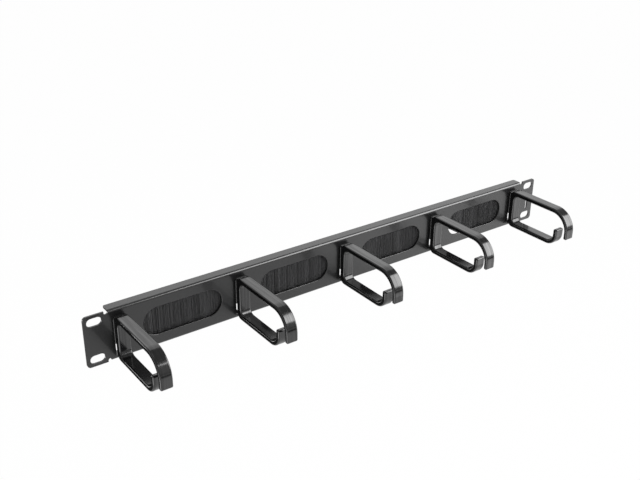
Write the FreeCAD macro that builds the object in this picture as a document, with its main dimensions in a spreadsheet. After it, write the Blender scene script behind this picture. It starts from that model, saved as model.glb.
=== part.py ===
import FreeCAD, Part
import math
import os
import Sketcher

# Horizontal cable manager: a one-unit rack panel in folded sheet steel with four brush windows and
# five moulded cable rings. All sizes in millimetres.
# Frame: X along the panel, Y into the rack, Z up. The origin is the centre of the four rack slots,
# on the rear face of the ears, where they meet the rack's rails.

doc = FreeCAD.newDocument("cable_manager")
Vec = FreeCAD.Vector
TINY = 1e-4     # places closer than this are one place

# ---------------------------------------------------------------------------------------- sizes
SIZES = [
    # folded panel
    ("panel_width", 482.6), ("panel_height", 43.6), ("sheet", 1.5),
    ("flange_depth", 9.6), ("ear_length", 20.0), ("bend_radius", 2.2), ("flange_corner", 1.5),
    ("ear_corner", 3.0), ("relief_width", 3.2), ("relief_depth", 2.8), ("rim_roll", 0.45),
    # rack slots, 1U spacing
    ("slot_inset", 8.75), ("slot_inset_up", 5.925), ("slot_length", 12.0), ("slot_width", 7.0),
    # narrow upright slot in the right ear
    ("tie_slot_inset", 8.0), ("tie_slot_low", 10.0), ("tie_slot_length", 12.0),
    ("tie_slot_width", 2.4),
    # bays: rings and windows stand at one pitch
    ("ring_inset", 8.9), ("window_gap", 36.8), ("window_rim", 9.7),
    # cut-outs behind each ring
    ("hook_hole_width", 10.6), ("hook_hole_rim", 2.6), ("hook_hole_height", 11.7),
    ("snap_hole_width", 8.6), ("snap_hole_height", 8.4), ("snap_hole_drop", 7.8),
    ("hole_corner", 0.6),
    # cable ring, seen from its side
    ("ring_width", 10.0), ("ring_reach", 74.0), ("ring_top_inset", 5.0), ("ring_low_inset", 0.6),
    ("base_wall", 5.9), ("arm", 4.4), ("nose", 3.5), ("lip", 4.2), ("entry_gap", 8.3),
    ("nose_drop", 9.8), ("lip_drop", 3.6), ("heel_radius", 6.0), ("heel_inner", 5.0),
    ("brow_radius", 20.0), ("brow_inner", 16.0), ("lip_radius", 11.5), ("lip_inner", 7.2),
    ("tip_radius", 1.35), ("edge_radius", 1.2),
    # seating collar at the ring's back
    ("collar_side", 0.75), ("collar_thick", 1.2), ("collar_drop", 1.8), ("collar_corner", 1.5),
    ("collar_edge", 0.4),
    # snap plug and hook behind the ring
    ("plug_play", 0.3), ("plug_root", 1.0), ("leg", 2.0), ("barb", 1.0), ("barb_land", 0.8),
    ("nib_slope", 0.8), ("leg_reach", 4.6), ("catch_play", 0.12),
    ("foot_width", 6.0), ("foot_reach", 2.6), ("foot_leg", 2.4), ("foot_bite", 0.6),
    ("foot_play", 0.2),
    # saddle clamp that holds the brush, and its fixings
    ("holder_over", 0.3), ("holder_height", 6.6), ("holder_sheet", 1.0), ("holder_bend_in", 0.4),
    ("holder_end_play", 0.3), ("tab_length", 6.5), ("tab_hole", 3.4), ("tab_corner", 1.5),
    ("stud_dia", 2.9), ("stud_length", 6.2), ("stud_tip", 0.4),
    ("washer_dia", 6.0), ("washer_thick", 0.5), ("washer_hole", 3.2),
    ("nut_flats", 5.5), ("nut_height", 2.4), ("thread_play", 0.1),
    # brush: crimped channel, core wire and filaments
    ("channel_height", 5.2), ("channel_depth", 4.8), ("channel_sheet", 0.6), ("channel_bend", 0.5),
    ("channel_play", 0.5), ("crimp_height", 0.9), ("crimp_depth", 0.5),
    ("wire_dia", 1.4), ("wire_drop", 1.6), ("wire_inset", 0.3),
    ("bristle_thick", 4.2), ("bristle_inset", 0.5), ("bristle_over", 4.9),
    ("tuft_pitch", 1.6), ("tuft_depth", 0.4),
    ("bare_out", 33.4), ("bare_in", 12.3), ("bare_top", 4.0),
]
# sizes that follow from the ones above
DERIVED = [
    ("zero", "0 * sheet"), ("half_width", "panel_width / 2"), ("neg_half_width", "-half_width"),
    ("half_height", "panel_height / 2"), ("neg_half_height", "-half_height"),
    ("flange_length", "panel_width - 2 * ear_length"), ("half_flange", "flange_length / 2"),
    ("neg_half_flange", "-half_flange"), ("bend_inner", "bend_radius - sheet"),
    ("flange_back", "flange_depth - sheet"), ("neg_sheet", "-sheet"),
    ("flange_top_in", "half_height - sheet"), ("flange_low_in", "sheet - half_height"),
    ("relief_mid", "half_flange + relief_width / 2"),
    ("slot_x", "half_width - slot_inset"), ("slot_z", "half_height - slot_inset_up"),
    ("tie_slot_x", "half_width - tie_slot_inset"),
    ("tie_mid", "tie_slot_length / 2 - tie_slot_low"),
    ("bay_pitch", "(flange_length - 2 * ring_inset) / 4"),
    ("window_length", "bay_pitch - window_gap"), ("window_height", "panel_height - 2 * window_rim"),
    ("window_x", "-1.5 * bay_pitch"), ("window_span", "3 * bay_pitch"),
    ("ring_x", "-2 * bay_pitch"), ("ring_span", "4 * bay_pitch"),
    # ring outline
    ("ring_rise", "half_height - ring_top_inset"), ("ring_low", "ring_low_inset - half_height"),
    ("base_front", "-sheet - base_wall"),
    ("nose_front", "-sheet - ring_reach"), ("nose_back", "nose_front + nose"),
    ("lip_front", "nose_back + entry_gap"), ("lip_back", "lip_front + lip"),
    ("arm_under", "ring_rise - arm"), ("floor_top", "ring_low + arm"),
    ("nose_end", "-nose_drop"), ("lip_end", "-lip_drop"),
    # cut-outs behind each ring
    ("hook_l", "ring_x - hook_hole_width / 2"), ("hook_r", "ring_x + hook_hole_width / 2"),
    ("hook_b", "hook_hole_rim - half_height"), ("hook_t", "hook_b + hook_hole_height"),
    ("snap_l", "ring_x - snap_hole_width / 2"), ("snap_r", "ring_x + snap_hole_width / 2"),
    ("snap_t", "ring_rise - snap_hole_drop + snap_hole_height / 2"),
    ("snap_b", "snap_t - snap_hole_height"),
    # collar, plug and hook outlines
    ("half_collar", "ring_width / 2 + collar_side"), ("neg_half_collar", "-half_collar"),
    ("collar_low", "hook_t"), ("collar_top", "ring_rise - collar_drop"),
    ("root", "-sheet - plug_root"), ("plug_width", "snap_hole_width - 2 * plug_play"),
    ("upper_top", "snap_t - plug_play"), ("upper_under", "upper_top - leg"),
    ("upper_barb", "upper_top + barb"), ("upper_nib", "upper_top - nib_slope"),
    ("lower_low", "snap_b + plug_play"), ("lower_over", "lower_low + leg"),
    ("lower_barb", "lower_low - barb"), ("lower_nib", "lower_low + nib_slope"),
    ("land", "catch_play + barb_land"),
    ("foot_low", "hook_b + foot_play"), ("foot_top", "foot_low + foot_leg"),
    ("foot_nib", "foot_low - foot_bite"),
    # holder and fixings
    ("holder_low", "window_height / 2 + holder_over"), ("holder_bend", "holder_bend_in + holder_sheet"),
    ("holder_end", "(bay_pitch - snap_hole_width) / 2 - holder_end_play"),
    ("saddle_out", "holder_end - tab_length"), ("saddle_in", "saddle_out - holder_sheet"),
    ("saddle_back", "channel_depth + holder_sheet"), ("neg_holder_end", "-holder_end"),
    ("neg_saddle_out", "-saddle_out"), ("neg_saddle_in", "-saddle_in"),
    ("stud_x", "(saddle_out + holder_end) / 2"), ("neg_stud_x", "-stud_x"),
    ("stud_z", "holder_low + holder_height / 2"), ("tab_hole_radius", "tab_hole / 2"),
    # brush
    ("channel_low", "stud_z - channel_height / 2"), ("channel_top", "stud_z + channel_height / 2"),
    ("channel_roof", "channel_top - channel_sheet"), ("channel_length", "2 * (saddle_in - channel_play)"),
    ("channel_back_in", "channel_depth - channel_sheet"), ("crimp_front", "channel_sheet + crimp_depth"),
    ("crimp_back", "channel_back_in - crimp_depth"), ("crimp_top", "channel_low + crimp_height"),
    ("brush_y", "channel_depth / 2"), ("wire_z", "channel_roof - wire_drop"),
    ("wire_radius", "wire_dia / 2"), ("wire_length", "channel_length - 2 * wire_inset"),
    ("half_pack", "channel_length / 2 - bristle_inset"),
    ("bristle_tip", "-window_height / 2 - bristle_over"),
]

dims = doc.addObject("Spreadsheet::Sheet", "dims")
for row, (alias, value) in enumerate(SIZES + DERIVED, 1):
    dims.set("A%d" % row, alias.replace("_", " "))
    text = str(value) if isinstance(value, float) else "=" + value
    dims.set("B%d" % row, text)
    dims.setAlias("B%d" % row, alias)
doc.recompute()


def size(alias):
    """The number behind a name in the sheet."""
    return float(getattr(dims, alias))


def bind(obj, prop, alias):
    """Makes a property follow a name, or a sum of names, in the sheet."""
    obj.setExpression(prop, alias)


# ------------------------------------------------------------------------------ sketch helpers
def new_body(label):
    body = doc.addObject("PartDesign::Body", label)
    body.Label = label
    return body


def new_sketch(body, name, role):
    """A sketch on one of the body's own origin planes."""
    sketch = body.newObject("Sketcher::SketchObject", name)
    plane = [f for f in body.Origin.OriginFeatures if f.Role == role][0]
    sketch.AttachmentSupport = [(plane, "")]
    sketch.MapMode = "FlatFace"
    return sketch


def hold(sketch, kind, geo, point, alias):
    """Places a point's level (DistanceY) or reach (DistanceX) from the origin by a named size."""
    index = sketch.addConstraint(Sketcher.Constraint(kind, -1, 1, geo, point, size(alias)))
    bind(sketch, "Constraints[%d]" % index, "dims." + alias)


def outline(sketch, runs):
    """Closed outline of runs that lie upright and level in turn.

    Each run is (place, corner): the name of its place along the other axis, and the name of the
    radius that joins it to the next run, or None for a sharp corner. The first run is upright.
    """
    count = len(runs)
    places = [size(place) for place, _ in runs]
    corners = []
    for k in range(count):
        here, after = places[k], places[(k + 1) % count]
        corners.append(Vec(here, after, 0) if k % 2 == 0 else Vec(after, here, 0))
    radii = [size(corner) if corner else 0.0 for _, corner in runs]
    ways = [(corners[k] - corners[k - 1]).normalize() for k in range(count)]
    lines, arcs = [], []
    for k in range(count):
        start = corners[k - 1] + ways[k] * radii[k - 1]
        end = corners[k] - ways[k] * radii[k]
        line = sketch.addGeometry(Part.LineSegment(start, end), False)
        lines.append(line)
        sketch.addConstraint(Sketcher.Constraint("Vertical" if k % 2 == 0 else "Horizontal", line))
        hold(sketch, "DistanceX" if k % 2 == 0 else "DistanceY", line, 1, runs[k][0])
    for k in range(count):
        after = (k + 1) % count
        if not runs[k][1]:
            sketch.addConstraint(Sketcher.Constraint("Coincident", lines[k], 2, lines[after], 1))
            continue
        centre = corners[k] - ways[k] * radii[k] + ways[after] * radii[k]
        left = ways[k].cross(ways[after]).z > 0
        first = corners[k] - ways[k] * radii[k] - centre
        last = corners[k] + ways[after] * radii[k] - centre
        if not left:
            first, last = last, first
        a0, a1 = math.atan2(first.y, first.x), math.atan2(last.y, last.x)
        circle = Part.Circle(centre, Vec(0, 0, 1), radii[k])
        arc = sketch.addGeometry(Part.ArcOfCircle(circle, a0, a1), False)
        arcs.append(arc)
        begin, finish = (1, 2) if left else (2, 1)
        sketch.addConstraint(Sketcher.Constraint("Tangent", lines[k], 2, arc, begin))
        sketch.addConstraint(Sketcher.Constraint("Tangent", lines[after], 1, arc, finish))
        index = sketch.addConstraint(Sketcher.Constraint("Radius", arc, radii[k]))
        bind(sketch, "Constraints[%d]" % index, "dims." + runs[k][1])


def obround(sketch, across, up, length, width, upright=False):
    """A slot with round ends, its centre, length and width given by name or by sum of names."""
    half, r = (length[1] - width[1]) / 2.0, width[1] / 2.0
    cx, cy = across[1], up[1]
    way = Vec(0, 1, 0) if upright else Vec(1, 0, 0)
    side = Vec(-way.y, way.x, 0)
    middle = Vec(cx, cy, 0)
    one, two = middle - way * half, middle + way * half
    turn = math.pi / 2 if upright else 0.0
    arc1 = sketch.addGeometry(Part.ArcOfCircle(Part.Circle(one, Vec(0, 0, 1), r),
                                               turn + math.pi / 2, turn + 3 * math.pi / 2), False)
    line1 = sketch.addGeometry(Part.LineSegment(one - side * r, two - side * r), False)
    arc2 = sketch.addGeometry(Part.ArcOfCircle(Part.Circle(two, Vec(0, 0, 1), r),
                                               turn - math.pi / 2, turn + math.pi / 2), False)
    line2 = sketch.addGeometry(Part.LineSegment(two + side * r, one + side * r), False)
    for first, p1, second, p2 in ((arc1, 2, line1, 1), (line1, 2, arc2, 1),
                                  (arc2, 2, line2, 1), (line2, 2, arc1, 1)):
        sketch.addConstraint(Sketcher.Constraint("Tangent", first, p1, second, p2))
    along = "Vertical" if upright else "Horizontal"
    sketch.addConstraint(Sketcher.Constraint(along, line1))
    sketch.addConstraint(Sketcher.Constraint(along, line2))
    index = sketch.addConstraint(Sketcher.Constraint("Radius", arc1, r))
    bind(sketch, "Constraints[%d]" % index, "(%s) / 2" % width[0])
    reach = "(%s - %s) / 2" % (length[0], width[0])
    names = (("DistanceX", one.x, across[0] if upright else "%s - %s" % (across[0], reach), arc1),
             ("DistanceY", one.y, "%s - %s" % (up[0], reach) if upright else up[0], arc1),
             ("DistanceY" if upright else "DistanceX", two.y if upright else two.x,
              "%s + %s" % (up[0] if upright else across[0], reach), arc2))
    for kind, value, expression, arc in names:
        index = sketch.addConstraint(Sketcher.Constraint(kind, -1, 1, arc, 3, value))
        bind(sketch, "Constraints[%d]" % index, expression)


def named(alias, sign=1):
    """A sheet name as an expression with its present value."""
    return ("dims." + alias if sign > 0 else "-dims." + alias, sign * size(alias))


def polygon(sketch, points):
    """Closed polygon, each corner held by two named sizes."""
    spots = [Vec(size(a), size(b), 0) for a, b in points]
    lines = []
    for k, spot in enumerate(spots):
        after = spots[(k + 1) % len(spots)]
        lines.append(sketch.addGeometry(Part.LineSegment(spot, after), False))
    for k, (a, b) in enumerate(points):
        after = lines[(k + 1) % len(lines)]
        sketch.addConstraint(Sketcher.Constraint("Coincident", lines[k], 2, after, 1))
        hold(sketch, "DistanceX", lines[k], 1, a)
        hold(sketch, "DistanceY", lines[k], 1, b)


def circle(sketch, across, up, radius):
    """A circle held by the names of its centre and radius."""
    spot = Vec(size(across), size(up), 0)
    geo = sketch.addGeometry(Part.Circle(spot, Vec(0, 0, 1), size(radius)), False)
    hold(sketch, "DistanceX", geo, 3, across)
    hold(sketch, "DistanceY", geo, 3, up)
    index = sketch.addConstraint(Sketcher.Constraint("Radius", geo, size(radius)))
    bind(sketch, "Constraints[%d]" % index, "dims." + radius)


def runs_along(edge, way):
    """Whether an edge's ends lie apart along one direction only."""
    one, two = edge.Vertexes[0].Point, edge.Vertexes[-1].Point
    return (two - one).cross(way).Length < TINY < (two - one).Length


def feature(body, kind, name, sketch, length, midplane=False, reverse=False):
    """Pad or pocket of a sketch by a named length, both ways from the plane when midplane."""
    made = body.newObject("PartDesign::" + kind, name)
    made.Profile = sketch
    if midplane:
        made.SideType = "Symmetric"
    made.Reversed = reverse
    bind(made, "Length", length)
    sketch.Visibility = False
    return made


def repeat(body, name, original, sketch, span, count):
    """Row of copies of a feature along the sketch's level axis."""
    made = body.newObject("PartDesign::LinearPattern", name)
    made.Originals = [original]
    made.Direction = (sketch, ["H_Axis"])
    bind(made, "Length", span)
    made.Occurrences = count
    body.Tip = made
    return made


def flat_edges(shape, test):
    """Names of the edges whose ends and middle all pass a test."""
    names = []
    for k, edge in enumerate(shape.Edges):
        spots = [v.Point for v in edge.Vertexes] + [edge.valueAt(
            (edge.FirstParameter + edge.LastParameter) / 2.0)]
        if all(test(p) for p in spots):
            names.append("Edge%d" % (k + 1))
    return names


# ---------------------------------------------------------------------------------- the panel
def make_panel():
    """One folded sheet: face, two flanges bent back, two ears, and every opening."""
    body = new_body("front_panel")
    section = new_sketch(body, "panel_section", "YZ_Plane")
    outline(section, [("neg_sheet", "bend_radius"), ("half_height", None),
                      ("flange_back", None), ("flange_top_in", "bend_inner"),
                      ("zero", "bend_inner"), ("flange_low_in", None),
                      ("flange_back", None), ("neg_half_height", "bend_radius")])
    channel = feature(body, "Pad", "panel_channel", section, "dims.flange_length", midplane=True)
    doc.recompute()
    # both ears stand in line with the face, so one plate with the channel's stretch left out
    plate = new_sketch(body, "ear_plates", "XZ_Plane")
    for inner, outer in (("half_flange", "half_width"), ("neg_half_flange", "neg_half_width")):
        outline(plate, [(inner, None), ("neg_half_height", "ear_corner"), (outer, "ear_corner"),
                        ("half_height", None)])
    ears = feature(body, "Pad", "ears", plate, "dims.sheet")
    doc.recompute()
    if ears.Shape.BoundBox.YMin > -size("sheet") + 0.01:
        ears.Reversed = True
    # rounded reliefs that let the flanges fold clear of the ears
    relief = new_sketch(body, "relief_slots", "XZ_Plane")
    reach = "dims.relief_depth * 2"
    for sx in (1, -1):
        for sz in (1, -1):
            obround(relief, named("relief_mid", sx), named("half_height", sz),
                    (reach, 2 * size("relief_depth")), named("relief_width"), upright=True)
    cut_through(body, "reliefs", relief)
    # rack slots, and the narrow slot in the right ear
    slots = new_sketch(body, "rack_slots", "XZ_Plane")
    for sx in (1, -1):
        for sz in (1, -1):
            obround(slots, named("slot_x", sx), named("slot_z", sz), named("slot_length"),
                    named("slot_width"))
    obround(slots, named("tie_slot_x"), named("tie_mid"), named("tie_slot_length"),
            named("tie_slot_width"), upright=True)
    cut_through(body, "rack_slot_holes", slots)
    window = new_sketch(body, "brush_window", "XZ_Plane")
    obround(window, named("window_x"), ("0 * dims.window_x", 0.0), named("window_length"),
            named("window_height"))
    first = cut_through(body, "first_window", window)
    windows = repeat(body, "windows", first, window, "dims.window_span", 4)
    doc.recompute()
    # the windows' front edges are rolled, so that no cable chafes on them
    reach, half = size("window_x") - size("window_length"), size("window_height") / 2.0
    names = flat_edges(windows.Shape, lambda p: abs(p.y + size("sheet")) < TINY
                       and abs(p.x) < -reach and abs(p.z) < half + TINY)
    rims = body.newObject("PartDesign::Fillet", "window_rims")
    rims.Base = (windows, names)
    bind(rims, "Radius", "dims.rim_roll")
    body.Tip = rims
    doc.recompute()
    holes = new_sketch(body, "ring_holes", "XZ_Plane")
    outline(holes, [("hook_l", "hole_corner"), ("hook_t", "hole_corner"),
                    ("hook_r", "hole_corner"), ("hook_b", "hole_corner")])
    outline(holes, [("snap_l", "hole_corner"), ("snap_t", "hole_corner"),
                    ("snap_r", "hole_corner"), ("snap_b", "hole_corner")])
    first = cut_through(body, "first_ring_holes", holes)
    row_of_holes = repeat(body, "ring_hole_row", first, holes, "dims.ring_span", 5)
    doc.recompute()
    # the flanges' free corners are rounded
    back, end = size("flange_back"), size("half_flange")
    names = flat_edges(row_of_holes.Shape,
                       lambda p: abs(p.y - back) < TINY and abs(abs(p.x) - end) < TINY)
    corners = body.newObject("PartDesign::Fillet", "flange_corners")
    corners.Base = (row_of_holes, names)
    bind(corners, "Radius", "dims.flange_corner")
    body.Tip = corners
    return body


def cut_through(body, name, sketch):
    """Pocket through the sheet, from whichever side the sketch's normal leaves."""
    before = body.Tip.Shape.Volume
    cut = body.newObject("PartDesign::Pocket", name)
    cut.Profile = sketch
    cut.SideType = "Symmetric"
    bind(cut, "Length", "dims.sheet * 4")
    sketch.Visibility = False
    doc.recompute()
    if not cut.Shape.Volume < before:
        raise RuntimeError(name + " cuts nothing")
    return cut


# ---------------------------------------------------------------------------------- the rings
def add_collar(body, number):
    """Thin plate round the ring's back that seats on the panel, its front outline softened."""
    collar = new_sketch(body, "collar_face_%d" % number, "XZ_Plane")
    collar.setExpression("AttachmentOffset.Base.z", "dims.sheet")
    outline(collar, [("neg_half_collar", "collar_corner"), ("collar_top", "collar_corner"),
                     ("half_collar", None), ("collar_low", None)])
    seat = feature(body, "Pad", "seating_collar_%d" % number, collar, "dims.collar_thick")
    doc.recompute()
    front, top, side = -size("sheet") - size("collar_thick"), size("collar_top"), size("half_collar")
    corner = size("collar_corner")

    def on_rim(p):
        """Whether a point lies on the collar's front outline: its sides, its top or a corner."""
        x, z = abs(p.x), p.z
        turn = math.hypot(x - side + corner, z - top + corner)
        return abs(p.y - front) < TINY and (abs(x - side) < TINY or abs(z - top) < TINY or (
            x > side - corner and z > top - corner and abs(turn - corner) < TINY))

    softened = body.newObject("PartDesign::Fillet", "collar_edges_%d" % number)
    softened.Base = (seat, [name for name in flat_edges(seat.Shape, on_rim)])
    bind(softened, "Radius", "dims.collar_edge")
    body.Tip = softened
    doc.recompute()


def make_ring(number):
    """One moulded ring: an open hook with rounded edges, its collar, and its plug and foot."""
    body = new_body("cable_ring_%d" % number)
    side = new_sketch(body, "ring_side_%d" % number, "YZ_Plane")
    outline(side, [("neg_sheet", "heel_radius"), ("ring_rise", "brow_radius"),
                   ("nose_front", "tip_radius"), ("nose_end", "tip_radius"),
                   ("nose_back", "brow_inner"), ("arm_under", "heel_inner"),
                   ("base_front", "heel_inner"), ("floor_top", "lip_inner"),
                   ("lip_back", "tip_radius"), ("lip_end", "tip_radius"),
                   ("lip_front", "lip_radius"), ("ring_low", "heel_radius")])
    band = feature(body, "Pad", "ring_band_%d" % number, side, "dims.ring_width", midplane=True)
    doc.recompute()
    half = size("ring_width") / 2.0
    rounded = body.newObject("PartDesign::Fillet", "ring_edges_%d" % number)
    rounded.Base = (band, flat_edges(band.Shape, lambda p: abs(abs(p.x) - half) < TINY))
    bind(rounded, "Radius", "dims.edge_radius")
    body.Tip = rounded
    doc.recompute()
    add_collar(body, number)
    plug = new_sketch(body, "snap_plug_%d" % number, "YZ_Plane")
    polygon(plug, [("root", "upper_top"), ("catch_play", "upper_top"), ("catch_play", "upper_barb"),
                   ("land", "upper_barb"), ("leg_reach", "upper_nib"),
                   ("leg_reach", "upper_under"), ("root", "upper_under")])
    polygon(plug, [("root", "lower_low"), ("root", "lower_over"), ("leg_reach", "lower_over"),
                   ("leg_reach", "lower_nib"), ("land", "lower_barb"), ("catch_play", "lower_barb"),
                   ("catch_play", "lower_low")])
    legs = feature(body, "Pad", "snap_legs_%d" % number, plug, "dims.plug_width", midplane=True)
    doc.recompute()
    foot = new_sketch(body, "foot_side_%d" % number, "YZ_Plane")
    polygon(foot, [("root", "foot_top"), ("foot_reach", "foot_top"), ("foot_reach", "foot_nib"),
                   ("catch_play", "foot_nib"), ("catch_play", "foot_low"), ("root", "foot_low")])
    hook = feature(body, "Pad", "foot_hook_%d" % number, foot, "dims.foot_width", midplane=True)
    body.Tip = hook
    bind(body, "Placement.Base.x", "(%d - 3) * dims.bay_pitch" % number)
    return body


# -------------------------------------------------------------------------------- the brushes
def make_holder(number):
    """Saddle clamp folded from a strip: a tab at each end on the panel, the middle over the brush."""
    body = new_body("brush_holder_%d" % number)
    plan = new_sketch(body, "holder_plan_%d" % number, "XY_Plane")
    plan.setExpression("AttachmentOffset.Base.z", "dims.holder_low")
    outline(plan, [("holder_end", None), ("holder_sheet", "holder_bend_in"),
                   ("saddle_out", "holder_bend"), ("saddle_back", "holder_bend"),
                   ("neg_saddle_out", "holder_bend_in"), ("holder_sheet", None),
                   ("neg_holder_end", None), ("zero", "holder_bend"),
                   ("neg_saddle_in", "holder_bend_in"), ("channel_depth", "holder_bend_in"),
                   ("saddle_in", "holder_bend"), ("zero", None)])
    strip = feature(body, "Pad", "holder_strip_%d" % number, plan, "dims.holder_height")
    doc.recompute()
    end = size("holder_end")
    corners = body.newObject("PartDesign::Fillet", "tab_corners_%d" % number)
    corners.Base = (strip, [name for name in flat_edges(
        strip.Shape, lambda p: abs(abs(p.x) - end) < TINY)
        if runs_along(strip.Shape.getElement(name), Vec(0, 1, 0))])
    bind(corners, "Radius", "dims.tab_corner")
    body.Tip = corners
    doc.recompute()
    holes = new_sketch(body, "tab_holes_%d" % number, "XZ_Plane")
    for across in ("stud_x", "neg_stud_x"):
        circle(holes, across, "stud_z", "tab_hole_radius")
    cut_through(body, "tab_hole_pair_%d" % number, holes)
    bind(body, "Placement.Base.x", "(%d - 2.5) * dims.bay_pitch" % number)
    return body


def make_channel(number):
    """U-shaped strip whose lower edges are crimped in on the bristles."""
    body = new_body("brush_channel_%d" % number)
    section = new_sketch(body, "channel_section_%d" % number, "YZ_Plane")
    outline(section, [("zero", "channel_bend"), ("channel_top", "channel_bend"),
                      ("channel_depth", None), ("channel_low", None),
                      ("crimp_back", None), ("crimp_top", None), ("channel_back_in", None),
                      ("channel_roof", None), ("channel_sheet", None), ("crimp_top", None),
                      ("crimp_front", None), ("channel_low", None)])
    feature(body, "Pad", "channel_strip_%d" % number, section, "dims.channel_length",
            midplane=True)
    bind(body, "Placement.Base.x", "(%d - 2.5) * dims.bay_pitch" % number)
    return body


def make_wire(number):
    """Core wire that the filaments are folded over."""
    body = new_body("brush_core_wire_%d" % number)
    section = new_sketch(body, "wire_section_%d" % number, "YZ_Plane")
    circle(section, "brush_y", "wire_z", "wire_radius")
    feature(body, "Pad", "wire_%d" % number, section, "dims.wire_length", midplane=True)
    bind(body, "Placement.Base.x", "(%d - 2.5) * dims.bay_pitch" % number)
    return body


def bristle_shape(worn):
    """Filaments folded over the wire: a held root in the channel and a free curtain below.

    The curtain's front and back run in uneven tufts. A worn pack has lost its lower left corner.
    """
    half, mid = size("half_pack"), size("brush_y")
    inner = (size("channel_back_in") - size("channel_sheet")) / 2.0
    mouth = (size("crimp_back") - size("crimp_front")) / 2.0
    roof, crimp, low = size("channel_roof"), size("crimp_top"), size("channel_low")

    def slab(half_thick, bottom, top):
        return Part.makeBox(2 * half, 2 * half_thick, top - bottom,
                            Vec(-half, mid - half_thick, bottom))

    root = slab(inner, crimp, roof).fuse(slab(mouth, low, crimp))
    bore = Part.makeCylinder(size("wire_dia") / 2.0, 4 * half, Vec(-2 * half, mid, size("wire_z")),
                             Vec(1, 0, 0))
    root = root.cut(bore)
    # tuft lines: widths swing about the pitch, each groove runs the full height
    thick, deep, pitch = size("bristle_thick") / 2.0, size("tuft_depth"), size("tuft_pitch")
    xs, x, k = [], -half, 0
    while x < half - pitch * 0.6:
        xs.append(x)
        x += pitch * (1.0 + 0.32 * math.sin(k * 2.4))
        k += 1
    xs.append(half)
    front, back = [], []
    for left, right in zip(xs[:-1], xs[1:]):
        ridge = left + (right - left) * 0.5
        front += [Vec(left, mid - thick + deep, 0), Vec(ridge, mid - thick, 0)]
        back += [Vec(left, mid + thick - deep, 0), Vec(ridge, mid + thick, 0)]
    front.append(Vec(half, mid - thick + deep, 0))
    back.append(Vec(half, mid + thick - deep, 0))
    ring = front + back[::-1]
    tip = size("bristle_tip")
    face = Part.Face(Part.makePolygon(ring + [ring[0]]))
    curtain = face.extrude(Vec(0, 0, low - tip))
    curtain.translate(Vec(0, 0, tip))
    if worn:
        out, into, top = -size("bare_out"), -size("bare_in"), -size("bare_top")
        wedge = Part.Face(Part.makePolygon([
            Vec(-half - 1, mid - 10, tip - 1), Vec(into, mid - 10, tip - 1),
            Vec(into, mid - 10, tip), Vec(out, mid - 10, top), Vec(-half - 1, mid - 10, top),
            Vec(-half - 1, mid - 10, tip - 1)]))
        curtain = curtain.cut(wedge.extrude(Vec(0, 20, 0)))
    whole = root.fuse(curtain).removeSplitter()
    return whole.Solids[0]


def make_bristles(number):
    """A bristle pack at its window; the fourth is the worn one."""
    pack = doc.addObject("Part::Feature", "brush_bristles_%d" % number)
    pack.Label = "brush_bristles_%d" % number
    pack.Shape = bristle_shape(worn=(number == 4))
    bind(pack, "Placement.Base.x", "(%d - 2.5) * dims.bay_pitch" % number)
    return pack


# -------------------------------------------------------------------------------- the fixings
def stud_places():
    """Middle of each of the eight studs, on the panel's rear face."""
    return [Vec((bay - 1.5) * size("bay_pitch") + side * size("stud_x"), 0, size("stud_z"))
            for bay in range(4) for side in (-1, 1)]


def fixing_group(label, one):
    """Eight like fasteners in one object, each its own solid."""
    group = doc.addObject("Part::Feature", label)
    group.Label = label
    solids = []
    for place in stud_places():
        copy = one.copy()
        copy.translate(place)
        solids.append(copy)
    group.Shape = Part.makeCompound(solids)
    return group


def make_stud():
    """Plain shank welded to the sheet, its end chamfered."""
    radius, tip = size("stud_dia") / 2.0, size("stud_tip")
    shank = Part.makeCylinder(radius, size("stud_length") - tip, Vec(0, 0, 0), Vec(0, 1, 0))
    nib = Part.makeCone(radius, radius - tip, tip, Vec(0, size("stud_length") - tip, 0),
                        Vec(0, 1, 0))
    return shank.fuse(nib).removeSplitter().Solids[0]


def make_washer():
    """Plain washer on the tab."""
    start = Vec(0, size("holder_sheet"), 0)
    disc = Part.makeCylinder(size("washer_dia") / 2.0, size("washer_thick"), start, Vec(0, 1, 0))
    bore = Part.makeCylinder(size("washer_hole") / 2.0, size("washer_thick"), start, Vec(0, 1, 0))
    return disc.cut(bore)


def make_nut():
    """Hexagon nut with its outer corners turned off at both ends."""
    base = size("holder_sheet") + size("washer_thick")
    across, height = size("nut_flats"), size("nut_height")
    corner = across / math.sqrt(3.0)
    ring = [Vec(corner * math.sin(math.radians(60 * k)), base,
                corner * math.cos(math.radians(60 * k))) for k in range(7)]
    prism = Part.Face(Part.makePolygon(ring)).extrude(Vec(0, height, 0))
    drop = (corner - across / 2.0) * math.tan(math.radians(30))
    turned = Part.makeCylinder(corner, height - 2 * drop, Vec(0, base + drop, 0), Vec(0, 1, 0))
    for at, r0, r1 in ((base, across / 2.0, corner), (base + height - drop, corner, across / 2.0)):
        turned = turned.fuse(Part.makeCone(r0, r1, drop, Vec(0, at, 0), Vec(0, 1, 0)))
    bore = Part.makeCylinder((size("stud_dia") + size("thread_play")) / 2.0, height,
                             Vec(0, base, 0), Vec(0, 1, 0))
    return prism.common(turned).cut(bore).removeSplitter().Solids[0]


# --------------------------------------------------------------------------------- the object
nodes = [make_panel()]
nodes += [make_ring(number) for number in range(1, 6)]
for number in range(1, 5):
    nodes += [make_holder(number), make_channel(number), make_wire(number), make_bristles(number)]
nodes.append(fixing_group("weld_studs", make_stud()))
nodes.append(fixing_group("stud_washers", make_washer()))
nodes.append(fixing_group("stud_nuts", make_nut()))
doc.recompute()

for obj in doc.Objects:
    if "Invalid" in obj.State or "Error" in obj.State:
        raise RuntimeError("%s: %s" % (obj.Name, obj.State))
for node in nodes:
    if node.Shape.isNull() or not node.Shape.isValid():
        raise RuntimeError("%s has no valid shape" % node.Label)

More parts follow.
